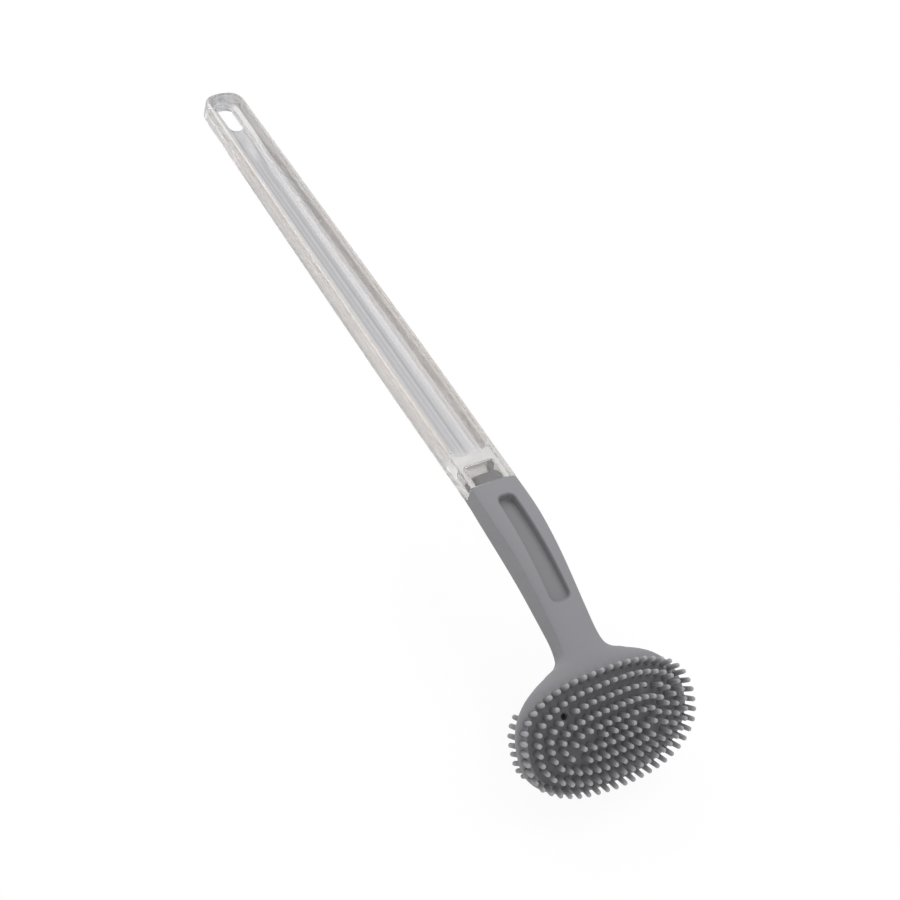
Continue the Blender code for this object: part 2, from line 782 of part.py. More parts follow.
pin_cut = cutter("pin_cut", build_pins, head_pull)
skin = add("skin", mesh_from("skin", build_skin), head_pull, rubber)
combine(skin, cutter("recess_cut", build_recess, head_pull), "DIFFERENCE")
combine(skin, cutter("core_room", lambda bm: loft(bm, core_loops(GAP)), head_pull), "DIFFERENCE")
combine(skin, cutter("pad_seat", lambda bm: loft(bm, pad_loops(GAP)), head_pull), "DIFFERENCE")
combine(skin, cutter("band_groove", lambda bm: build_band(bm, GAP, 0, BACK_COUNT - 1), head_pull),
        "DIFFERENCE")
combine(skin, pin_cut, "DIFFERENCE")

pad = add("nub_pad", mesh_from("nub_pad", lambda bm: loft(bm, pad_loops(0.0))), head_pull,
          nub_rubber)
all_nubs = cutter("face_nubs", lambda bm: [nub(bm, *foot) for foot in FEET], head_pull)
combine(pad, all_nubs, "UNION")
combine(pad, pin_cut, "DIFFERENCE")

back_bands = []
BAND_NUBS = BACK_COUNT // BANDS
for order, side_name in enumerate(BAND_NAMES):
    first = order * BAND_NUBS
    last = first + BAND_NUBS - 1
    band_name = "back_nubs_" + side_name
    band = add(band_name, mesh_from(band_name, lambda bm: build_band(bm, 0.0, first, last)),
               head_pull, back_rubber)
    pegs = cutter("pegs_" + side_name, lambda bm: [nub(bm, foot, way, BACK_ROOT) for foot, way, _ in
                                                   back_frames(BACK_COUNT)[first:last + 1]],
                  head_pull)
    combine(band, pegs, "UNION")
    back_bands.append(band)

# The brush lies on its back, on the end of the handle and on the lowest back nubs
bpy.context.view_layer.update()


def points_of(piece):
    """Corners of a piece as its modifiers leave it, in the handle's frame."""
    evaluated = piece.evaluated_get(bpy.context.evaluated_depsgraph_get())
    return [corner.co.copy() for corner in evaluated.data.vertices]


SOLIDS = [handle, core, skin, pad, *back_bands]
heel = Vector((0.0, HANDLE_LENGTH, -handle_depth(HANDLE_LENGTH)))
low_points = [p for piece in [skin, *back_bands] for p in points_of(piece)]
tip_angle = max(math.atan2(heel.z - p.z, heel.y - p.y) for p in low_points)
turned = Matrix.Rotation(-tip_angle, 4, "X")
placed = [turned @ p for piece in SOLIDS for p in points_of(piece)]
lowest = Vector([min(p[i] for p in placed) for i in range(3)])
highest = Vector([max(p[i] for p in placed) for i in range(3)])
middle = 0.5 * (lowest + highest)
rest.matrix_world = Matrix.Translation((-middle.x, -middle.y, -lowest.z)) @ turned
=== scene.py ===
import json
import math

import bmesh
import bpy
from mathutils import Matrix, Vector


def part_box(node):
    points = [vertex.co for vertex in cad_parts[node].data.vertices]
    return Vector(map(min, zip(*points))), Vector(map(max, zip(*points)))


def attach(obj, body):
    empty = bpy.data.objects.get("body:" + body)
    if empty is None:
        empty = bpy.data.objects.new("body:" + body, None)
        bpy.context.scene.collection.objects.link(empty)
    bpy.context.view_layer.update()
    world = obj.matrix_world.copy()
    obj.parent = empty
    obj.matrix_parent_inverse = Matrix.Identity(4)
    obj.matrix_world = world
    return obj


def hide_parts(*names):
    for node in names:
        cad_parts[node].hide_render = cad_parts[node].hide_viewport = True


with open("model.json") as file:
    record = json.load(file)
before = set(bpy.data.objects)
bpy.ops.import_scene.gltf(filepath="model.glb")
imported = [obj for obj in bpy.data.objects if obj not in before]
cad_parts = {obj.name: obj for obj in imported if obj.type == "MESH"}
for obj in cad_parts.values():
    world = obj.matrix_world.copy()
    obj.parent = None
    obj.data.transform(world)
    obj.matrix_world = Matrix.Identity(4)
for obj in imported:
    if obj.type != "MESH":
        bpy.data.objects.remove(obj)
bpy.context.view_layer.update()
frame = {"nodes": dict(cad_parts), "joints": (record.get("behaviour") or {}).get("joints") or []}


# The handle lies tipped by a few degrees, on the heel of its end and on the nubs of the head.
# Every size below is laid out along it: X to the side, Y up the handle and Z out of its front,
# from the front of the joint with the neck. LAY puts such a point where the brush lies.
HANDLE_LENGTH = 0.2764
HANDLE_DEPTH_AT_END = 0.0108

pull = Vector(frame["joints"][0]["axis"])
tip = math.atan2(pull.z, -pull.y)
handle_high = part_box("handle")[1]
LAY = Matrix((
    (1.0, 0.0, 0.0, 0.0),
    (0.0, math.cos(tip), math.sin(tip), handle_high.y - HANDLE_LENGTH * math.cos(tip)),
    (0.0, -math.sin(tip), math.cos(tip),
     HANDLE_LENGTH * math.sin(tip) + HANDLE_DEPTH_AT_END * math.cos(tip)),
    (0.0, 0.0, 0.0, 1.0)))


# Handle: one clear hard moulding, an open channel whose floor rises in a long point to the web
# round a hanging slot. The lower end is a solid block with a socket for the tongue of the core.
# All its edges keep the small radius of the mould.
HANDLE_HALF_AT_NECK = 0.0122
HANDLE_HALF_AT_END = 0.0107
HANDLE_BELLY = 0.0006
HANDLE_BELLY_AT = 0.30
HANDLE_DEPTH_AT_NECK = 0.0116
HANDLE_CROWN_RADIUS = 0.082
HANDLE_EDGE = 0.0010
HANDLE_CAP = 0.0088
CAP_POWER = 2.8
BACK_CORNER = 0.0012
HEEL_CORNER = 0.0024
HEEL_BLEND = 0.0160
WALL = 0.0021
FLOOR = 0.0026
RIM_ROUND = 0.0005
CHANNEL_START = 0.0180
CHANNEL_CAP = 0.0062
CHANNEL_POWER = 2.5
END_RECESS = 0.0058
FLOOR_RISE_LOW = 0.0560
FLOOR_RISE_HIGH = 0.0270
FLOOR_RISE_POINT = 0.0110
END_WEB = 0.0018
BACK_RISE_LOW = 0.0480
BACK_RISE_HIGH = 0.0260
BACK_RUNOUT = 0.0003
SLOT_LENGTH = 0.0206
SLOT_WIDTH = 0.0080
SLOT_CENTRE_FROM_END = 0.0134
SLOT_ROUND = 0.0006
SOCKET_HALF = 0.0083
SOCKET_THICK = 0.0056
SOCKET_DEEP = 0.0060
SOCKET_LENGTH = 0.0136
SOCKET_ROUND = 0.0022
SOCKET_POWER = 6.0
THROUGH = 0.0030
LIGHT_THROUGH = (0.86, 0.86, 0.865)
CLEARNESS_OF_FLOOR = 0.80
CLEARNESS_OF_WALLS = 0.74
CLEARNESS_OF_BLOCK = 0.94
WALL_LOOK_FROM = 0.0070
WALL_LOOK_FULL = 0.0100
BLOCK_LOOK_FROM = 1.5 * CHANNEL_START
BLOCK_LOOK_FULL = CHANNEL_START


def blend(first, second, part):
    return first + (second - first) * part


def smooth(t):
    """Rise from 0 to 1 without a corner at either end."""
    t = min(max(t, 0.0), 1.0)
    return t * t * (3.0 - 2.0 * t)


def crown(x, radius):
    """How far a crowned surface has dropped at x from its middle."""
    return x * x / (2.0 * radius)


def signed_power(value, power):
    return math.copysign(abs(value) ** power, value)


def lengths_along(line):
    """Length of a line from its start to each of its points."""
    lengths = [0.0]
    for a, b in zip(line[:-1], line[1:]):
        lengths.append(lengths[-1] + (b - a).length)
    return lengths


def evenly(line, count):
    """Points of equal spacing along a line of many points, both of its ends among them."""
    lengths = lengths_along(line)
    points = []
    index = 0
    for i in range(count):
        target = lengths[-1] * i / (count - 1)
        while index < len(line) - 2 and lengths[index + 1] < target:
            index += 1
        span = lengths[index + 1] - lengths[index]
        points.append(line[index].lerp(line[index + 1], (target - lengths[index]) / span))
    return points


def oval_line(half, reach, power, first, last, steps=720):
    """Line along an oval of that power, between two angles from its right side."""
    line = []
    for i in range(steps + 1):
        turn = blend(first, last, i / steps)
        line.append(Vector((half * signed_power(math.cos(turn), 2.0 / power),
                            reach * signed_power(math.sin(turn), 2.0 / power))))
    return line


def bridge(bm, rings):
    """Faces between closed rings of equal length."""
    for low, high in zip(rings[:-1], rings[1:]):
        for i in range(len(low)):
            j = (i + 1) % len(low)
            bm.faces.new((low[i], low[j], high[j], high[i]))


def bridge_and_close(bm, rings):
    bridge(bm, rings)
    bm.faces.new(rings[0])
    bm.faces.new(rings[-1])


def new_mesh(name, fill):
    """Mesh whose points are filled in along the handle and then laid down, faces outwards."""
    mesh = bpy.data.meshes.new(name)
    bm = bmesh.new()
    fill(bm)
    bmesh.ops.remove_doubles(bm, verts=bm.verts, dist=1e-7)
    bmesh.ops.transform(bm, matrix=LAY, verts=bm.verts)
    bmesh.ops.recalc_face_normals(bm, faces=bm.faces)
    bm.to_mesh(mesh)
    bm.free()
    return mesh


def new_piece(name, mesh, finish):
    piece = bpy.data.objects.new(name, mesh)
    bpy.context.collection.objects.link(piece)
    piece.data.materials.clear()
    piece.data.materials.append(finish)
    return piece


def apply_step(piece, step):
    """Gives a piece the mesh that its modifier makes, for good."""
    bpy.context.view_layer.update()
    evaluated = piece.evaluated_get(bpy.context.evaluated_depsgraph_get())
    mesh = bpy.data.meshes.new_from_object(evaluated)
    piece.modifiers.remove(step)
    piece.data = mesh


def cut(piece, name, fill, finish=None):
    """Takes a solid away from a piece for good. Its faces take the finish, if one is given."""
    tool = bpy.data.objects.new(name, new_mesh(name, fill))
    bpy.context.collection.objects.link(tool)
    tool.data.materials.append(finish or piece.data.materials[0])
    step = piece.modifiers.new(name, "BOOLEAN")
    step.operation = "DIFFERENCE"
    step.solver = "EXACT"
    step.material_mode = "TRANSFER"
    step.object = tool
    apply_step(piece, step)
    bpy.data.objects.remove(tool)


def soften(piece, sharp_above):
    """Smooth shading over the mould's radii, with flats kept flat and sharp bends kept sharp."""
    piece.data.shade_smooth()
    piece.data.set_sharp_from_angle(angle=math.radians(sharp_above))
    flats = piece.modifiers.new("flats", "WEIGHTED_NORMAL")
    flats.keep_sharp = True


def handle_half(y):
    """Half width, which tapers to the end and has a faint belly in its lower half."""
    part = y / HANDLE_LENGTH
    belly = smooth(part / HANDLE_BELLY_AT) * smooth((1.0 - part) / (1.0 - HANDLE_BELLY_AT))
    return blend(HANDLE_HALF_AT_NECK, HANDLE_HALF_AT_END, part) + HANDLE_BELLY * belly


def handle_depth(y):
    return blend(HANDLE_DEPTH_AT_NECK, HANDLE_DEPTH_AT_END, y / HANDLE_LENGTH)


# Shares of a side's length, five times as close over the last fifth, by the slot
side_marks = [i / 40 for i in range(33)] + [blend(0.8, 1.0, i / 40) for i in range(1, 41)]
cap_marks = evenly(oval_line(1.0, 1.0, CAP_POWER, 0.0, math.pi), 41)[1:-1]


def racetrack(half_at, low, high, low_cap, high_cap, inset=0.0, spread=1.0):
    """Closed outline with rounded ends, pulled in by the inset and narrowed to its middle."""
    bottom, top = low + low_cap, high - high_cap
    right = [Vector(((half_at(y) - inset) * spread, y))
             for y in (blend(bottom, top, mark) for mark in side_marks)]
    up = max(high_cap - inset, 0.0) * spread
    down = max(low_cap - inset, 0.0) * spread
    far = [Vector((right[-1].x * mark.x, top + up * mark.y)) for mark in cap_marks]
    left = [Vector((-point.x, point.y)) for point in reversed(right)]
    near = [Vector((-right[0].x * mark.x, bottom - down * mark.y)) for mark in cap_marks]
    return right + far + left + near


def outer_track(inset):
    return racetrack(handle_half, 0.0, HANDLE_LENGTH, 0.0, HANDLE_CAP, inset)


def channel_track(inset, spread=1.0):
    return racetrack(lambda y: handle_half(y) - WALL, CHANNEL_START, HANDLE_LENGTH - WALL,
                     CHANNEL_CAP, HANDLE_CAP - WALL, inset, spread)


def channel_floor(x, y):
    """Depth of the channel's floor, which rises in a long point to the recess round the slot."""
    far = HANDLE_LENGTH - y + FLOOR_RISE_POINT * (abs(x) / HANDLE_HALF_AT_END)
    part = (FLOOR_RISE_LOW - far) / (FLOOR_RISE_LOW - FLOOR_RISE_HIGH)
    return blend(handle_depth(y) - FLOOR, END_RECESS, smooth(part))


def heel_corner(y):
    """Radius of the back corner, which grows round the end."""
    return blend(BACK_CORNER, HEEL_CORNER, smooth(1.0 - (HANDLE_LENGTH - y) / HEEL_BLEND))


def quarter(steps):
    return [0.5 * math.pi * i / steps for i in range(steps + 1)]


def round_edge(radius, steps):
    """Pairs along a quarter round: what is left of the way in, and how far down it has gone."""
    return [(radius * (1.0 - math.sin(turn)), radius * (1.0 - math.cos(turn)))
            for turn in quarter(steps)]


def bowl():
    """Pairs along half of a channel's section: share of its half width, share of its depth."""
    power = 2.0 / CHANNEL_POWER
    shares = [(math.cos(turn) ** power, math.sin(turn) ** power) for turn in quarter(18)[:-1]]
    return shares + [(0.0, 1.0)]


def fill_handle(bm):
    def front_ring(points, drop):
        return [bm.verts.new((p.x, p.y, -crown(p.x, HANDLE_CROWN_RADIUS) - drop)) for p in points]

    rings = []
    for inwards, rise in round_edge(1.0, 7):
        level = []
        for edge, inner in zip(outer_track(0.0), outer_track(HEEL_CORNER)):
            corner = heel_corner(edge.y)
            spot = edge.lerp(inner, inwards * corner / HEEL_CORNER)
            level.append(bm.verts.new((spot.x, spot.y, rise * corner - handle_depth(spot.y))))
        rings.append(level)
    rings += [front_ring(outer_track(inset), drop) for drop, inset in round_edge(HANDLE_EDGE, 6)]
    land, rim = outer_track(HANDLE_EDGE), channel_track(-RIM_ROUND)
    rings += [front_ring([a.lerp(b, part) for a, b in zip(land, rim)], 0.0)
              for part in (0.2, 0.4, 0.6, 0.8)]
    rings += [front_ring(channel_track(-outwards), drop)
              for outwards, drop in round_edge(RIM_ROUND, 4)]
    for spread, sunk in bowl()[1:]:
        level = []
        for edge, p in zip(channel_track(0.0), channel_track(0.0, spread)):
            start = crown(edge.x, HANDLE_CROWN_RADIUS) + RIM_ROUND
            depth = blend(start, channel_floor(p.x, p.y), sunk)
            level.append(bm.verts.new((p.x, p.y, -depth)))
        rings.append(level)
    bridge(bm, rings)
    bm.faces.new(rings[0])


def fill_back_recess(bm):
    """Hollow in the back of the end, which leaves a thin web round the slot and runs out."""
    below = handle_depth(0.0) + THROUGH
    track = racetrack(lambda y: handle_half(y) - HEEL_CORNER, HANDLE_LENGTH - BACK_RISE_LOW,
                      HANDLE_LENGTH - HEEL_CORNER, 0.0, HANDLE_CAP - HEEL_CORNER)

    def ceiling(y):
        part = (BACK_RISE_LOW - (HANDLE_LENGTH - y)) / (BACK_RISE_LOW - BACK_RISE_HIGH)
        return blend(handle_depth(y) + BACK_RUNOUT, END_RECESS + END_WEB, smooth(part))

    rings = [[bm.verts.new((p.x, p.y, -below)) for p in track]]
    for spread, raised in bowl():
        rings.append([bm.verts.new((p.x * spread, p.y, -blend(below, ceiling(p.y), raised)))
                      for p in track])
    bridge(bm, rings)
    bm.faces.new(rings[0])


def around(count):
    return [math.tau * i / count for i in range(count)]


def fill_slot(bm):
    """Slot with rounded edges on both faces of the web."""
    centre = HANDLE_LENGTH - SLOT_CENTRE_FROM_END
    straight = 0.5 * (SLOT_LENGTH - SLOT_WIDTH)
    levels = [(SLOT_ROUND, -THROUGH)]
    levels += [(grown, END_RECESS + down) for grown, down in round_edge(SLOT_ROUND, 5)]
    levels += [(grown, END_RECESS + END_WEB - left) for left, grown in round_edge(SLOT_ROUND, 5)]
    levels.append((SLOT_ROUND, handle_depth(0.0) + THROUGH))
    rings = []
    for grown, depth in levels:
        radius = 0.5 * SLOT_WIDTH + grown
        ring = []
        for turn in around(48):
            end = math.copysign(straight, math.sin(turn + 1e-6))
            ring.append(bm.verts.new((radius * math.cos(turn),
                                      centre + radius * math.sin(turn) + end, -depth)))
        rings.append(ring)
    bridge_and_close(bm, rings)


def fill_socket(bm):
    levels = [(-THROUGH, 0.0)]
    levels += [(SOCKET_LENGTH - short, inset) for short, inset in round_edge(SOCKET_ROUND, 6)]
    rings = []
    for y, inset in levels:
        line = oval_line(SOCKET_HALF - inset, 0.5 * SOCKET_THICK - inset, SOCKET_POWER,
                         0.0, math.tau)
        rings.append([bm.verts.new((p.x, y, p.y - SOCKET_DEEP)) for p in evenly(line, 61)[:-1]])
    bridge_and_close(bm, rings)


def new_material(name):
    made = bpy.data.materials.new(name)
    made.use_nodes = True
    nodes = made.node_tree.nodes
    return made, nodes, made.node_tree.links, nodes["Principled BSDF"]


def object_noise(nodes, links, scale, detail, stretch=(1.0, 1.0, 1.0), tipped=0.0):
    """Noise on the piece's own coordinates, tipped about X, then drawn out along the axes."""
    coordinates = nodes.new("ShaderNodeTexCoord")
    turned = nodes.new("ShaderNodeVectorRotate")
    turned.rotation_type = "X_AXIS"
    turned.inputs["Angle"].default_value = tipped
    mapping = nodes.new("ShaderNodeMapping")
    mapping.inputs["Scale"].default_value = stretch
    noise = nodes.new("ShaderNodeTexNoise")
    noise.inputs["Scale"].default_value = scale
    noise.inputs["Detail"].default_value = detail
    links.new(coordinates.outputs["Object"], turned.inputs["Vector"])
    links.new(turned.outputs["Vector"], mapping.inputs["Vector"])
    links.new(mapping.outputs["Vector"], noise.inputs["Vector"])
    return noise.outputs["Fac"]


def feed(links, socket, value):
    """Links a socket to another node's output, or sets it to a number or a colour."""
    if isinstance(value, bpy.types.NodeSocket):
        links.new(value, socket)
    elif isinstance(value, tuple):
        socket.default_value = (*value, 1.0)
    else:
        socket.default_value = value


def math_node(nodes, links, operation, *values):
    node = nodes.new("ShaderNodeMath")
    node.operation = operation
    for socket, value in zip(node.inputs, values):
        feed(links, socket, value)
    return node.outputs["Value"]


def ranged(nodes, links, value, start, end, low=0.0, high=1.0):
    """Value between start and end taken to the range from low to high."""
    node = nodes.new("ShaderNodeMapRange")
    for name, given in (("Value", value), ("From Min", start), ("From Max", end),
                        ("To Min", low), ("To Max", high)):
        feed(links, node.inputs[name], given)
    return node.outputs["Result"]


def spread_out(nodes, links, noise, low, high):
    """Noise, which lies mostly between 0.3 and 0.7, taken to the range from low to high."""
    return ranged(nodes, links, noise, 0.3, 0.7, low, high)


def two_colours(nodes, links, factor, first, second):
    mix = nodes.new("ShaderNodeMix")
    mix.data_type = "RGBA"
    for index, value in ((0, factor), (6, first), (7, second)):
        feed(links, mix.inputs[index], value)
    return mix.outputs[2]


def mix_surface(nodes, links, factor, first, second):
    """Surface of the first shader where the factor is 0 and of the second where it is 1."""
    mix = nodes.new("ShaderNodeMixShader")
    for index, value in enumerate((factor, first, second)):
        feed(links, mix.inputs[index], value)
    links.new(mix.outputs["Shader"], nodes["Material Output"].inputs["Surface"])


def bump_from(nodes, links, height, strength, distance):
    bump = nodes.new("ShaderNodeBump")
    bump.inputs["Strength"].default_value = strength
    bump.inputs["Distance"].default_value = distance
    links.new(height, bump.inputs["Height"])
    return bump.outputs["Normal"]


# Clear plastic: milky, with streaks along the handle, grey over the channel's floor and clearest
# in the block.
# Its walls are tinted lighter and warmer and made less clear: painted light for the light they
# take in from the sides.
clear, nodes, links, shader = new_material("clear_plastic")
streaks = object_noise(nodes, links, 480.0, 1.0, (1.0, 0.004, 0.7), tip)
lines = spread_out(nodes, links, streaks, 0.0, 1.0)
middle_tint = two_colours(nodes, links, lines, (0.42, 0.42, 0.43), (0.72, 0.715, 0.73))
# Painted light: the walls' lighter, warmer tint stands in for light refracted into them from the
# sides
wall_tint_and_painted_light = two_colours(nodes, links, lines, (0.69, 0.655, 0.63), (0.92, 0.885, 0.855))
where = nodes.new("ShaderNodeSeparateXYZ")
links.new(nodes.new("ShaderNodeTexCoord").outputs["Object"], where.inputs["Vector"])
block_ends = [(LAY @ Vector((0.0, y, 0.0))).y for y in (BLOCK_LOOK_FROM, BLOCK_LOOK_FULL)]
in_block = ranged(nodes, links, where.outputs["Y"], *block_ends)
in_wall = ranged(nodes, links, math_node(nodes, links, "ABSOLUTE", where.outputs["X"]),
                 WALL_LOOK_FROM, WALL_LOOK_FULL)
channel_clearness = ranged(nodes, links, in_wall, 0.0, 1.0,
                           CLEARNESS_OF_FLOOR, CLEARNESS_OF_WALLS)
links.new(ranged(nodes, links, in_block, 0.0, 1.0, channel_clearness, CLEARNESS_OF_BLOCK),
          shader.inputs["Transmission Weight"])
channel_tint_and_painted_light = two_colours(nodes, links, in_wall, middle_tint, wall_tint_and_painted_light)
links.new(two_colours(nodes, links, in_block, channel_tint_and_painted_light, (0.70, 0.685, 0.675)),
          shader.inputs["Base Color"])
links.new(spread_out(nodes, links, streaks, 0.13, 0.22), shader.inputs["Roughness"])
links.new(bump_from(nodes, links, streaks, 0.02, 0.0002), shader.inputs["Normal"])
shader.inputs["IOR"].default_value = 1.49
passing = nodes.new("ShaderNodeBsdfTransparent")
feed(links, passing.inputs["Color"], LIGHT_THROUGH)
mix_surface(nodes, links, nodes.new("ShaderNodeLightPath").outputs["Is Shadow Ray"],
            shader.outputs["BSDF"], passing.outputs["BSDF"])

handle = new_piece("clear_handle", new_mesh("clear_handle", fill_handle), clear)
cut(handle, "back_recess", fill_back_recess)
cut(handle, "slot", fill_slot)
cut(handle, "socket", fill_socket)
soften(handle, sharp_above=38.0)
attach(handle, "handle")
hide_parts("handle")


# Core: the hard grey moulding inside the rubber. Only its tongue shows, through the clear block
# that it is pushed into, and a spot of its plate at the bottom of each of the two small holes.
core_finish, nodes, links, shader = new_material("core_plastic")
grain = object_noise(nodes, links, 900.0, 3.0)
links.new(two_colours(nodes, links, grain, (0.110, 0.111, 0.117), (0.135, 0.137, 0.144)),
          shader.inputs["Base Color"])
links.new(spread_out(nodes, links, grain, 0.38, 0.50), shader.inputs["Roughness"])
links.new(bump_from(nodes, links, grain, 0.10, 0.0001), shader.inputs["Normal"])
core = frame["nodes"]["core"]
core.data.materials.clear()
core.data.materials.append(core_finish)


# Skin: soft grey rubber moulded round the core. It runs from the joint down the bent neck with
# its long shallow recess, widens over the shoulder and closes round the back of the head.
NECK_BEND_LENGTH = 0.065
NECK_BEND = math.radians(18.5)
NECK_CROWN_RADIUS = 0.072
NECK_LENGTH = 0.0925
SHOULDER_START = 0.0840
SHOULDER_BLEND = 0.0140
NECK_TO_HEAD_ROUND = 0.0022
# Share of the neck's length below the joint, and share of the handle's half width or depth
NECK_OUTLINE = ((0.0, 1.0), (0.195, 1.008), (0.389, 0.943), (0.605, 0.869), (0.778, 0.828),
                (0.886, 0.828), (0.946, 0.934), (0.975, 1.180), (1.0, 1.607))
NECK_DEPTHS = ((0.0, 1.0), (0.151, 1.069), (0.389, 1.155), (0.649, 1.069), (0.908, 0.931))
RECESS_TOP = 0.0090
RECESS_BOTTOM = 0.0640
RECESS_HALF_TOP = 0.0042
RECESS_HALF_BOTTOM = 0.0050
RECESS_DEEP_TOP = 0.0038
RECESS_DEEP_BOTTOM = 0.0023
RECESS_CORNER = 0.0028
RECESS_LEAST_CORNER = 0.0004
RECESS_BRIM = 0.0010
RECESS_FLOOR_ROUND = 0.0003
RECESS_DRAFT = 0.0003
FACE_CENTRE = 0.1243
FACE_TILT = math.radians(44.9)
FACE_RADIUS = 0.0615
FACE_CROSS_RADIUS = 0.183
HEAD_HALF = 0.0450
HEAD_UP = 0.0338
HEAD_DOWN = 0.0285
HEAD_POWER = 2.4
HEAD_DEPTH = 0.0110
HEAD_EDGE = 0.0022
SECTION_POWER = 3.0
BACK_CROSS_RADIUS = 0.560
BOTTOM_ROUND = 0.0050
BOTTOM_TAKEN = 0.75
SEAM_GAP = 0.0002
CORNER_SHARE = 0.2
LOWEST_SECTION = math.radians(88.0)
PATH_STEP = 0.0005

face_start = FACE_CENTRE - FACE_RADIUS * (FACE_TILT - NECK_BEND)


def curve_through(points, at):
    """Smooth curve through the points, flat at each end of the list."""
    if at <= points[0][0]:
        return points[0][1]
    if at >= points[-1][0]:
        return points[-1][1]
    last = len(points) - 1
    index = max(i for i in range(last) if points[i][0] <= at)
    (x0, y0), (x1, y1) = points[index], points[index + 1]

    def tangent(i):
        if i in (0, last):
            return 0.0
        return (points[i + 1][1] - points[i - 1][1]) / (points[i + 1][0] - points[i - 1][0])

    width = x1 - x0
    t = (at - x0) / width
    start, end = tangent(index), tangent(index + 1)
    return blend(y0, y1, smooth(t)) + width * t * (1.0 - t) * (start * (1.0 - t) - end * t)


def slope(s):
    """Angle by which the front has turned backwards, s below the joint."""
    bend = NECK_BEND * smooth(s / NECK_BEND_LENGTH)
    return bend + max(0.0, s - face_start) / FACE_RADIUS


path = [(0.0, 0.0)]
for i in range(math.ceil((FACE_CENTRE + 2.0 * HEAD_DOWN) / PATH_STEP)):
    angle = slope((i + 0.5) * PATH_STEP)
    path.append((path[-1][0] - PATH_STEP * math.cos(angle),
                 path[-1][1] - PATH_STEP * math.sin(angle)))


def place(s, x, height):
    """Point at s down the front, x to the side and height out of it."""
    angle = slope(s)
    index = min(max(int(s / PATH_STEP), 0), len(path) - 2)
    (y0, z0), (y1, z1) = path[index:index + 2]
    part = s / PATH_STEP - index
    return Vector((x, blend(y0, y1, part) - math.sin(angle) * height,
                   blend(z0, z1, part) + math.cos(angle) * height))


def shoulder(s):
    """How far the neck's section has turned into the head's."""
    return smooth((s - SHOULDER_START) / SHOULDER_BLEND)


def oval_half(up, half, reach, power):
    part = min(abs(up) / reach, 1.0)
    return half * (1.0 - part ** power) ** (1.0 / power)


def skin_half(s):
    up = FACE_CENTRE - s
    if up <= 0.0:
        return oval_half(up, HEAD_HALF, HEAD_DOWN, HEAD_POWER)
    neck = HANDLE_HALF_AT_NECK * curve_through(NECK_OUTLINE, s / NECK_LENGTH)
    head = oval_half(up, HEAD_HALF, HEAD_UP, HEAD_POWER)
    rounded = 0.5 * (neck + head + math.hypot(neck - head, NECK_TO_HEAD_ROUND))
    added = 0.5 * (math.hypot(HANDLE_HALF_AT_NECK, NECK_TO_HEAD_ROUND) - HANDLE_HALF_AT_NECK)
    return rounded - added * (1.0 - shoulder(s))


def skin_depth(s):
    neck = HANDLE_DEPTH_AT_NECK * curve_through(NECK_DEPTHS, s / NECK_LENGTH)
    return blend(neck, HEAD_DEPTH, shoulder(s))


def front_radius(s):
    return 1.0 / blend(1.0 / NECK_CROWN_RADIUS, 1.0 / FACE_CROSS_RADIUS, shoulder(s))


def back_radius(s):
    part = shoulder(s)
    return BACK_CROSS_RADIUS / part if part > 0.0 else math.inf


def bottom_shrink(s):
    """How far the lower rim has rounded off, from 0 to 1."""
    left = min((FACE_CENTRE + HEAD_DOWN - s) / BOTTOM_ROUND, 1.0)
    return 1.0 - math.sqrt(max(1.0 - (1.0 - left) ** 2, 0.0))


def rim_shrink(s):
    rim = skin_depth(s) - crown(skin_half(s), FACE_CROSS_RADIUS)
    return 0.5 * BOTTOM_TAKEN * bottom_shrink(s) * rim


def front_edge(s):
    return blend(HANDLE_EDGE, HEAD_EDGE, shoulder(s)) * (1.0 - bottom_shrink(s))


def front_depth(s, x):
    """Depth of the front surface below the path, x to the side of its middle."""
    across = min(abs(x) / skin_half(s), 1.0)
    droop = 1.0 - (1.0 - across ** SECTION_POWER) ** (1.0 / SECTION_POWER)
    return rim_shrink(s) + crown(x, front_radius(s)) + front_edge(s) * droop


def back_corner(part, half, reach):
    """Shares of the half width and of the depth, round an upright side with a small corner."""
    if part < CORNER_SHARE:
        return 1.0, (1.0 - BACK_CORNER / reach) * part / CORNER_SHARE
    if part > 1.0 - CORNER_SHARE:
        return (1.0 - BACK_CORNER / half) * (1.0 - part) / CORNER_SHARE, 1.0
    turn = 0.5 * math.pi * (part - CORNER_SHARE) / (1.0 - 2.0 * CORNER_SHARE)
    return (1.0 - BACK_CORNER * (1.0 - math.cos(turn)) / half,
            1.0 - BACK_CORNER * (1.0 - math.sin(turn)) / reach)


def skin_ring(s, steps=24):
    """Closed section of the skin: crowned front, upright sides on the neck, oval ones below."""
    half = skin_half(s)
    back = skin_depth(s) - rim_shrink(s)
    brink = rim_shrink(s) + crown(half, front_radius(s)) + front_edge(s)
    reach = back + crown(half, back_radius(s)) - brink
    square = 1.0 - shoulder(s)
    ring = []
    for i in range(2 * steps):
        x = half * signed_power(math.cos(0.5 * math.pi * i / steps), 2.0 / SECTION_POWER)
        ring.append(place(s, x, -front_depth(s, x)))
    for i in range(2 * steps):
        part = min(i, 2 * steps - i) / steps
        turn = 0.5 * math.pi * part
        flat_width, flat_drop = back_corner(part, half, reach)
        oval_width = math.cos(turn) ** (2.0 / SECTION_POWER) if part < 1.0 else 0.0
        width = blend(oval_width, flat_width, square)
        drop = blend(math.sin(turn) ** (2.0 / SECTION_POWER), flat_drop, square)
        x = math.copysign(half * width, i - steps)
        ring.append(place(s, x, -(back + crown(x, back_radius(s)) - reach * (1.0 - drop))))
    return ring


def fill_skin(bm):
    stations = [blend(SEAM_GAP, SHOULDER_START, i / 70) for i in range(71)]
    stations += [blend(SHOULDER_START, FACE_CENTRE, i / 64) for i in range(1, 65)]
    stations += [FACE_CENTRE + HEAD_DOWN * math.sin(LOWEST_SECTION * i / 40)
                 for i in range(1, 41)]
    bridge_and_close(bm, [[bm.verts.new(point) for point in skin_ring(s)] for s in stations])


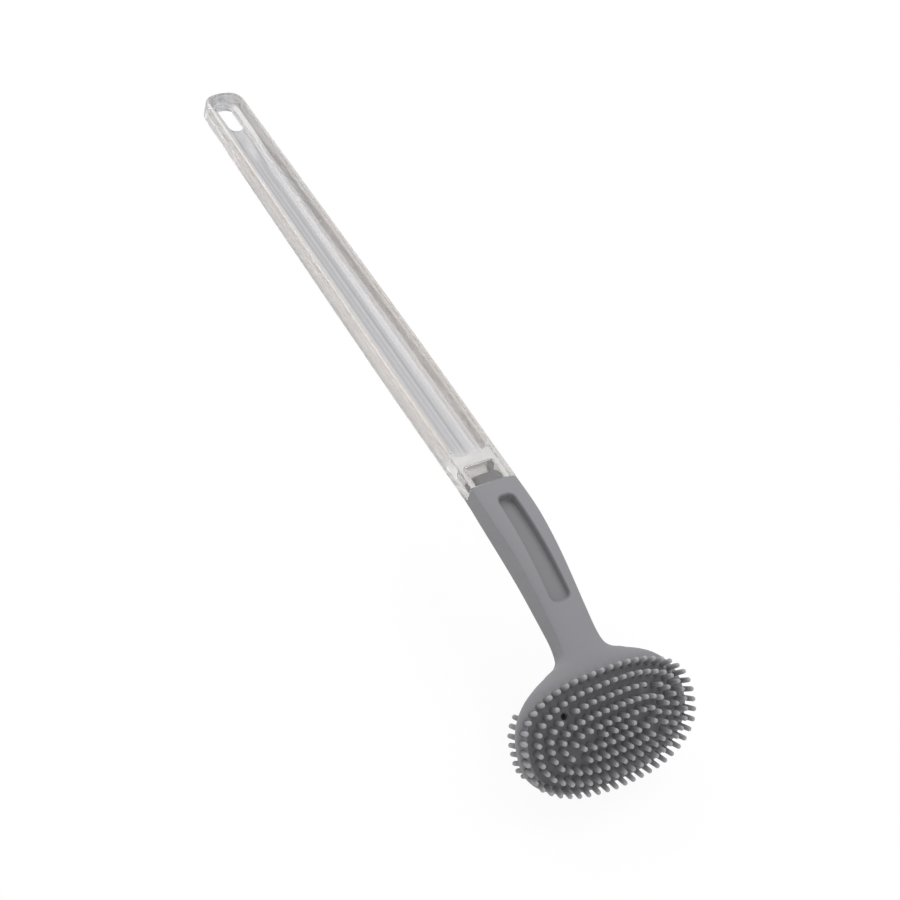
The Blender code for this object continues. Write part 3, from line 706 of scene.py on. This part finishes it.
def fill_recess(bm):
    """Recess down the front of the neck, deepest at its top, with a rounded brim."""
    unit = evenly(oval_line(1.0, 1.0, 2.0, 0.0, 0.5 * math.pi), 9)
    straight = [(blend(RECESS_TOP, RECESS_BOTTOM, 0.10 + 0.05 * i), 0.0) for i in range(17)]
    # Inset of the outline, depth below the front and share of the floor's depth added to it
    levels = [(-RECESS_BRIM, -THROUGH, 0.0)]
    levels += [(-outwards, down, 0.0) for outwards, down in round_edge(RECESS_BRIM, 6)]
    levels += [(RECESS_DRAFT + inset, -left, 1.0)
               for left, inset in round_edge(RECESS_FLOOR_ROUND, 4)]

    def along(s):
        return (s - RECESS_TOP) / (RECESS_BOTTOM - RECESS_TOP)

    def recess_point(s, x, fixed, share):
        deep = fixed + share * blend(RECESS_DEEP_TOP, RECESS_DEEP_BOTTOM, along(s))
        return place(s, x, -crown(x, front_radius(s)) - deep)

    rings = []
    for inset, fixed, share in levels:
        corner = max(RECESS_CORNER - inset, RECESS_LEAST_CORNER)
        upper = [(RECESS_TOP + inset + corner * (1.0 - p.x), corner * (p.y - 1.0)) for p in unit]
        lower = [(RECESS_TOP + RECESS_BOTTOM - s, x) for s, x in reversed(upper)]
        side = [(s, blend(RECESS_HALF_TOP, RECESS_HALF_BOTTOM, along(s)) - inset + x)
                for s, x in upper + straight + lower]
        outline = side + [(s, -x) for s, x in reversed(side)]
        rings.append([bm.verts.new(recess_point(s, x, fixed, share)) for s, x in outline])
    bridge(bm, rings)
    bm.faces.new(rings[0])
    floor = rings[-1]
    for i in range(len(floor) // 2 - 1):
        j = len(floor) - 1 - i
        bm.faces.new((floor[i], floor[i + 1], floor[j - 1], floor[j]))


def add_sheen(shader):
    shader.inputs["Sheen Weight"].default_value = 0.15
    shader.inputs["Sheen Roughness"].default_value = 0.5


def rubber_finish(name, dark, light, grain_depth):
    """Matt rubber, clouded between two greys, with a fine grain."""
    made, nodes, links, shader = new_material(name)
    cloud = object_noise(nodes, links, 60.0, 4.0)
    links.new(two_colours(nodes, links, cloud, dark, light), shader.inputs["Base Color"])
    links.new(spread_out(nodes, links, cloud, 0.52, 0.66), shader.inputs["Roughness"])
    grain = object_noise(nodes, links, 2600.0, 2.0)
    links.new(bump_from(nodes, links, grain, 0.12, grain_depth), shader.inputs["Normal"])
    add_sheen(shader)
    return made


rubber = rubber_finish("grey_rubber", (0.262, 0.262, 0.281), (0.298, 0.298, 0.318), 0.00005)
# The recess takes a darker copy of the rubber: painted shade in the recess
recess_shade_finish = rubber_finish("recess_rubber_painted_shade", (0.208, 0.206, 0.221), (0.240, 0.238, 0.253), 0.00012)

skin = new_piece("rubber_skin", new_mesh("rubber_skin", fill_skin), rubber)
cut(skin, "recess", fill_recess, recess_shade_finish)
soften(skin, sharp_above=40.0)
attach(skin, "head")
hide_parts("skin")


# Nub pad: the domed front of the head, of the same rubber. Five rings and a short middle row of
# round pegs stand on it, all moulded with it. Two pegs are left out for bare spots and two for
# the holes by which the mould held the core, which go down to its plate.
PAD_UP = 0.0280
PAD_POWER = 2.8
PAD_INSET = 0.0005
PAD_THICK = 0.0032
PAD_LIFT = 0.00004
PAD_TUCK = 0.0005
PAD_BORDER = 0.0004
PAD_BORDER_FROM = 0.90
NUB_LENGTH = 0.0065
NUB_RADIUS = 0.00128
RING_COUNTS = (20, 30, 36, 44, 50)
RING_STEP_ACROSS = 0.00535
RING_STEP_UP = 0.00505
OUTER_INSET_SIDE = 0.0018
OUTER_INSET_BOTTOM = 0.0044
RING_POWER = 2.7
RING_OFFSET = 0.0006
OUTER_LEAN = math.radians(3.0)
MIDDLE_COUNT = 4
MIDDLE_PITCH = 0.0050
HOLE_RING = 2
HOLE_PLACE = 5
PATCH_RING = 1
PATCH_PLACE = 10
HOLE_RADIUS = 0.0015
HOLE_BRIM = 0.0003
HOLE_DEPTH = 0.0052
# Share of the nub's height above its root, and share of its radius, from root to tip
NUB_PROFILE = ((0.00, 1.15), (0.14, 1.15), (0.19, 1.00), (0.60, 0.94), (0.90, 0.87),
               (0.962, 0.70), (0.992, 0.42), (1.00, 0.14))


def outward(s):
    return Vector((0.0, -math.sin(slope(s)), math.cos(slope(s))))


def up_face(s):
    return Vector((0.0, math.cos(slope(s)), math.sin(slope(s))))


def oval_places(half, reach, power, count):
    """Evenly spaced points round an oval from its top, clockwise, with their outward side."""
    line = [Vector((p.y, p.x)) for p in oval_line(reach, half, power, 0.0, math.tau)]
    return [(p, Vector((p.x / half ** 2, p.y / reach ** 2)).normalized())
            for p in evenly(line, count + 1)[:-1]]


face_feet, hole_places = [], []
for ring, count in enumerate(RING_COUNTS):
    inwards = len(RING_COUNTS) - 1 - ring
    half = HEAD_HALF - OUTER_INSET_SIDE - inwards * RING_STEP_ACROSS
    reach = HEAD_DOWN - OUTER_INSET_BOTTOM - inwards * RING_STEP_UP
    for i, (point, side) in enumerate(oval_places(half, reach, RING_POWER, count)):
        s = FACE_CENTRE - RING_OFFSET - point.y
        if ring == HOLE_RING and i in (HOLE_PLACE, count - HOLE_PLACE):
            hole_places.append((s, point.x))
        elif ring != PATCH_RING or i not in (PATCH_PLACE, count - PATCH_PLACE):
            lean = math.tan(OUTER_LEAN) if inwards == 0 else 0.0
            face_feet.append((s, point.x, side * lean))
for i in range(MIDDLE_COUNT):
    face_feet.append((FACE_CENTRE - RING_OFFSET, (i - 0.5 * (MIDDLE_COUNT - 1)) * MIDDLE_PITCH,
                      Vector((0.0, 0.0))))

face_nubs = []
for s, x, lean in face_feet:
    foot = place(s, x, -front_depth(s, x))
    way = (outward(s) + Vector((x / FACE_CROSS_RADIUS + lean.x, 0.0, 0.0))
           + up_face(s) * lean.y).normalized()
    face_nubs.append((foot, way))


def fill_pad(bm):
    """Front sheet whose border tucks under the skin."""
    def half_oval(high, reach, power):
        line = oval_line(HEAD_HALF - PAD_INSET, reach - PAD_INSET, power, 0.0, math.pi)
        return [Vector((p.x, p.y if high else -p.y)) for p in evenly(line, 91)]

    border = half_oval(True, PAD_UP, PAD_POWER)[:-1]
    border += list(reversed(half_oval(False, HEAD_DOWN, HEAD_POWER)))[:-1]
    outwards = [i / 24 for i in range(1, 25)]
    levels = [(share, -PAD_THICK, -PAD_TUCK - PAD_BORDER) for share in outwards]
    levels += [(share, PAD_LIFT, PAD_LIFT - PAD_TUCK) for share in reversed(outwards)]
    rings = []
    for share, inner, outer in levels:
        rise = blend(inner, outer, smooth((share - PAD_BORDER_FROM) / (1.0 - PAD_BORDER_FROM)))
        ring = []
        for p in border:
            s, x = FACE_CENTRE - p.y * share, p.x * share
            ring.append(bm.verts.new(place(s, x, rise - front_depth(s, x))))
        rings.append(ring)
    bridge_and_close(bm, rings)


def fill_holes(bm):
    """Two round holes with soft brims, from above the face down to the plate of the core."""
    levels = [(HOLE_BRIM, THROUGH)]
    levels += [(grown, -down) for grown, down in round_edge(HOLE_BRIM, 4)]
    levels.append((0.0, -HOLE_DEPTH))
    for s, x in hole_places:
        top = place(s, x, -front_depth(s, x))
        right, up = Vector((1.0, 0.0, 0.0)), up_face(s)
        rings = []
        for grown, height in levels:
            centre, radius = top + outward(s) * height, HOLE_RADIUS + grown
            rings.append([bm.verts.new(centre + (right * math.cos(turn) + up * math.sin(turn))
                                       * radius) for turn in around(28)])
        bridge_and_close(bm, rings)


def lined_curve(nodes, values):
    """Straight-lined curve through the values, evenly spaced from 0 to 1."""
    curve = nodes.new("ShaderNodeFloatCurve")
    mapping = curve.mapping
    mapping.use_clip = False
    line = mapping.curves[0]
    last = len(values) - 1
    line.points[0].location = (0.0, values[0])
    line.points[1].location = (1.0, values[last])
    for i in range(1, last):
        line.points.new(i / last, values[i])
    for point in line.points:
        point.handle_type = "VECTOR"
    mapping.update()
    return curve


def in_use(sockets, name):
    """The one of several sockets of a name that the node's present kind of data uses."""
    return next(socket for socket in sockets if socket.name == name and socket.enabled)


def nub_tree():
    """Puts one tapered, round tipped nub on every loose point of a mesh that has a foot mark."""
    tree = bpy.data.node_groups.new("nubs_on_feet", "GeometryNodeTree")
    inputs = (("Feet", "NodeSocketGeometry", None), ("Nub length", "NodeSocketFloat", NUB_LENGTH),
              ("Nub radius", "NodeSocketFloat", NUB_RADIUS), ("Root", "NodeSocketFloat", 0.001),
              ("Unevenness", "NodeSocketFloat", 0.02), ("Sides", "NodeSocketInt", 10),
              ("Seed", "NodeSocketInt", 7), ("Rubber", "NodeSocketMaterial", None))
    for name, kind, value in inputs:
        socket = tree.interface.new_socket(name, in_out="INPUT", socket_type=kind)
        if value is not None:
            socket.default_value = value
    tree.interface.new_socket("Nubs", in_out="OUTPUT", socket_type="NodeSocketGeometry")
    nodes, links = tree.nodes, tree.links
    given = nodes.new("NodeGroupInput").outputs
    result = nodes.new("NodeGroupOutput")

    def arithmetic(operation, first, second):
        return math_node(nodes, links, operation, first, second)

    spine = nodes.new("GeometryNodeResampleCurve")
    spine.inputs["Count"].default_value = len(NUB_PROFILE)
    links.new(nodes.new("GeometryNodeCurvePrimitiveLine").outputs["Curve"], spine.inputs["Curve"])
    along = arithmetic("DIVIDE", nodes.new("GeometryNodeSplineParameter").outputs["Index"],
                       len(NUB_PROFILE) - 1)
    height = lined_curve(nodes, [share for share, _ in NUB_PROFILE])
    links.new(along, height.inputs["Value"])
    width = lined_curve(nodes, [share for _, share in NUB_PROFILE])
    links.new(along, width.inputs["Value"])
    whole = arithmetic("ADD", given["Nub length"], given["Root"])
    level = arithmetic("SUBTRACT", arithmetic("MULTIPLY", height.outputs["Value"], whole),
                       given["Root"])
    upward = nodes.new("ShaderNodeCombineXYZ")
    links.new(level, upward.inputs["Z"])
    lifted = nodes.new("GeometryNodeSetPosition")
    links.new(spine.outputs["Curve"], lifted.inputs["Geometry"])
    links.new(upward.outputs["Vector"], lifted.inputs["Position"])
    round_section = nodes.new("GeometryNodeCurvePrimitiveCircle")
    round_section.inputs["Radius"].default_value = 1.0
    links.new(given["Sides"], round_section.inputs["Resolution"])
    peg = nodes.new("GeometryNodeCurveToMesh")
    peg.inputs["Fill Caps"].default_value = True
    links.new(lifted.outputs["Geometry"], peg.inputs["Curve"])
    links.new(arithmetic("MULTIPLY", width.outputs["Value"], given["Nub radius"]),
              peg.inputs["Scale"])
    links.new(round_section.outputs["Curve"], peg.inputs["Profile Curve"])

    apart = nodes.new("ShaderNodeSeparateXYZ")
    links.new(nodes.new("GeometryNodeInputPosition").outputs["Position"], apart.inputs["Vector"])
    # rise: share of the nub's length above its root, along which the nub rubber paints shade to
    # light
    marked = nodes.new("GeometryNodeStoreNamedAttribute")
    marked.data_type = "FLOAT"
    marked.domain = "POINT"
    marked.inputs["Name"].default_value = "rise"
    links.new(peg.outputs["Mesh"], marked.inputs["Geometry"])
    links.new(arithmetic("DIVIDE", apart.outputs["Z"], given["Nub length"]),
              in_use(marked.inputs, "Value"))

    foot_mark = nodes.new("GeometryNodeInputNamedAttribute")
    foot_mark.data_type = "BOOLEAN"
    foot_mark.inputs["Name"].default_value = "foot"
    split = nodes.new("GeometryNodeSeparateGeometry")
    links.new(given["Feet"], split.inputs["Geometry"])
    links.new(in_use(foot_mark.outputs, "Attribute"), split.inputs["Selection"])

    way = nodes.new("GeometryNodeInputNamedAttribute")
    way.data_type = "FLOAT_VECTOR"
    way.inputs["Name"].default_value = "way"
    uneven = nodes.new("FunctionNodeRandomValue")
    uneven.data_type = "FLOAT_VECTOR"
    links.new(given["Unevenness"], in_use(uneven.inputs, "Max"))
    links.new(arithmetic("MULTIPLY", given["Unevenness"], -1.0), in_use(uneven.inputs, "Min"))
    links.new(given["Seed"], uneven.inputs["Seed"])
    leaning = nodes.new("ShaderNodeVectorMath")
    links.new(in_use(way.outputs, "Attribute"), leaning.inputs[0])
    links.new(in_use(uneven.outputs, "Value"), leaning.inputs[1])
    turned = nodes.new("FunctionNodeAlignRotationToVector")
    turned.axis = "Z"
    links.new(leaning.outputs["Vector"], turned.inputs["Vector"])
    planted = nodes.new("GeometryNodeInstanceOnPoints")
    links.new(split.outputs["Selection"], planted.inputs["Points"])
    links.new(marked.outputs["Geometry"], planted.inputs["Instance"])
    links.new(turned.outputs["Rotation"], planted.inputs["Rotation"])
    joined = nodes.new("GeometryNodeJoinGeometry")
    links.new(planted.outputs["Instances"], joined.inputs["Geometry"])
    links.new(split.outputs["Inverted"], joined.inputs["Geometry"])
    real = nodes.new("GeometryNodeRealizeInstances")
    links.new(joined.outputs["Geometry"], real.inputs["Geometry"])
    shaded = nodes.new("GeometryNodeSetShadeSmooth")
    links.new(real.outputs["Geometry"], shaded.inputs["Geometry"])
    finished = nodes.new("GeometryNodeSetMaterial")
    links.new(shaded.outputs["Geometry"], finished.inputs["Geometry"])
    links.new(given["Rubber"], finished.inputs["Material"])
    links.new(finished.outputs["Geometry"], result.inputs["Nubs"])
    return tree


def grow_nubs(name, sheet, feet, finish, seed):
    """Plain mesh of the sheet, if any, with a nub on every foot."""
    bm = bmesh.new()
    if sheet is not None:
        bm.from_mesh(sheet)
    for foot, _ in feet:
        bm.verts.new(LAY @ foot)
    mesh = bpy.data.meshes.new(name)
    bm.to_mesh(mesh)
    bm.free()
    first = len(mesh.vertices) - len(feet)
    mesh.attributes.new("foot", "BOOLEAN", "POINT")
    mesh.attributes.new("way", "FLOAT_VECTOR", "POINT")
    for i, (_, way) in enumerate(feet):
        mesh.attributes["foot"].data[first + i].value = True
        mesh.attributes["way"].data[first + i].vector = LAY.to_3x3() @ way
    piece = new_piece(name, mesh, finish)
    growth = piece.modifiers.new("nubs", "NODES")
    tree = nub_tree()
    growth.node_group = tree
    sockets = {item.name: item.identifier for item in tree.interface.items_tree
               if item.in_out == "INPUT"}
    growth[sockets["Seed"]] = seed
    growth[sockets["Rubber"]] = finish
    apply_step(piece, growth)
    marks = piece.data.attributes
    for spent in ("foot", "way"):
        if spent in marks:
            marks.remove(marks[spent])
    return piece


# Painted shade and light: dark at the nubs' roots for the shade between them, lighter towards the
# tips where light falls
nub_rubber, nodes, links, shader = new_material("nub_rubber")
rise = nodes.new("ShaderNodeAttribute")
rise.attribute_name = "rise"
cloud = object_noise(nodes, links, 300.0, 3.0)
shade_to_tip_light = math_node(nodes, links, "MULTIPLY", rise.outputs["Fac"],
                 spread_out(nodes, links, cloud, 0.85, 1.15))
links.new(two_colours(nodes, links, shade_to_tip_light, (0.142, 0.139, 0.147), (0.420, 0.422, 0.435)),
          shader.inputs["Base Color"])
links.new(spread_out(nodes, links, cloud, 0.48, 0.62), shader.inputs["Roughness"])
add_sheen(shader)

# The pad has no rise, so it takes the dark root colour: painted shade between the nubs
sheet = new_piece("sheet", new_mesh("sheet", fill_pad), nub_rubber)
cut(sheet, "pad_holes", fill_holes)
cut(skin, "skin_holes", fill_holes)
pad = grow_nubs("nub_pad_front", sheet.data, face_nubs, nub_rubber, seed=7)
bpy.data.objects.remove(sheet)
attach(pad, "head")
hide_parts("nub_pad")


# Back nubs: one row of the same pegs round the back edge of the head, open at the shoulder,
# leaning outwards. They are moulded with the back of the skin.
BACK_INSET_SIDE = 0.0048
BACK_INSET_BOTTOM = 0.0042
BACK_INSET_TOP = 0.0173
BACK_ROW_POWER = 2.9
BACK_COUNT = 32
BACK_LEAN = math.radians(15.0)

round_back = [(p, side) for p, side in
              oval_places(HEAD_HALF - BACK_INSET_SIDE, HEAD_DOWN - BACK_INSET_BOTTOM,
                          BACK_ROW_POWER, 720) if p.y <= HEAD_UP - BACK_INSET_TOP]
row_lengths = lengths_along([point for point, _ in round_back])
back_nubs = []
for i in range(BACK_COUNT):
    target = row_lengths[-1] * i / (BACK_COUNT - 1)
    point, side = round_back[min(range(len(row_lengths)),
                                 key=lambda k: abs(row_lengths[k] - target))]
    s = FACE_CENTRE - point.y
    foot = place(s, point.x, -(skin_depth(s) + crown(point.x, BACK_CROSS_RADIUS)))
    out = (Vector((side.x, 0.0, 0.0)) + up_face(FACE_CENTRE) * side.y).normalized()
    back_nubs.append((foot, (out * math.tan(BACK_LEAN) - outward(FACE_CENTRE)).normalized()))

back_row = grow_nubs("back_nub_row", None, back_nubs, nub_rubber, seed=11)
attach(back_row, "head")
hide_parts("back_nubs_left", "back_nubs_lower_left", "back_nubs_lower_right",
            "back_nubs_right")


# Stage: a white table and a white room, both under even studio light. Seen directly or through
# the clear handle, they are plain white. The camera looks from above and from the left of the
# head, turned so that the handle runs up to the left.
TABLE_HALF = 6.0
TABLE_BELOW = 0.0002
TABLE_SHINE = 1.02
TABLE_SHINE_SHARE = 0.90
ROOM_LIGHT = 0.48
CAMERA_SPOT = Vector((-0.4395, -0.4044, 0.6373))
CAMERA_AIM = Vector((-0.0103, 0.0224, 0.0))
CAMERA_TURN = math.radians(28.21)
CAMERA_LENS = 78.04


def seen_directly(nodes, links):
    """1 for what is looked at, also through the clear plastic, 0 for light on its way."""
    rays = nodes.new("ShaderNodeLightPath").outputs
    return math_node(nodes, links, "MAXIMUM", rays["Is Camera Ray"], rays["Is Transmission Ray"])


table_finish, nodes, links, shader = new_material("white_table")
feed(links, shader.inputs["Base Color"], (0.95, 0.95, 0.95))
shader.inputs["Roughness"].default_value = 0.9
shine = nodes.new("ShaderNodeEmission")
shine.inputs["Strength"].default_value = TABLE_SHINE
shown = math_node(nodes, links, "MULTIPLY", seen_directly(nodes, links), TABLE_SHINE_SHARE)
mix_surface(nodes, links, shown, shader.outputs["BSDF"], shine.outputs["Emission"])
table_mesh = bpy.data.meshes.new("table")
table_mesh.from_pydata([(-TABLE_HALF, -TABLE_HALF, 0.0), (TABLE_HALF, -TABLE_HALF, 0.0),
                        (TABLE_HALF, TABLE_HALF, 0.0), (-TABLE_HALF, TABLE_HALF, 0.0)],
                       [], [(0, 1, 2, 3)])
table = new_piece("table", table_mesh, table_finish)
table.location.z = -TABLE_BELOW

world = bpy.data.worlds.new("studio")
bpy.context.scene.world = world
world.use_nodes = True
nodes, links = world.node_tree.nodes, world.node_tree.links
backdrop = nodes["Background"]
feed(links, backdrop.inputs["Color"], (1.0, 1.0, 1.0))
links.new(ranged(nodes, links, seen_directly(nodes, links), 0.0, 1.0, ROOM_LIGHT, 1.0),
          backdrop.inputs["Strength"])

for name, spot, size, power in (("key", (0.85, 0.25, 1.25), 1.0, 7.0),
                                ("back", (-0.15, 1.30, 1.00), 0.9, 8.0),
                                ("front", (-0.50, -1.20, 1.00), 1.2, 4.0)):
    lamp = bpy.data.lights.new(name, "AREA")
    lamp.size = size
    lamp.energy = power
    light = bpy.data.objects.new(name, lamp)
    bpy.context.collection.objects.link(light)
    light.location = spot
    light.rotation_euler = (-Vector(spot)).to_track_quat("-Z", "Y").to_euler()

eye, aim = LAY @ CAMERA_SPOT, LAY @ CAMERA_AIM
lens = bpy.data.cameras.new("camera")
lens.lens = CAMERA_LENS
lens.sensor_width = 36.0
lens.clip_start = 0.01
camera = bpy.data.objects.new("camera", lens)
bpy.context.collection.objects.link(camera)
camera.matrix_world = (Matrix.Translation(eye)
                       @ (aim - eye).to_track_quat("-Z", "Y").to_matrix().to_4x4()
                       @ Matrix.Rotation(CAMERA_TURN, 4, "Z"))
bpy.context.scene.camera = camera
bpy.context.scene.view_settings.view_transform = "Standard"
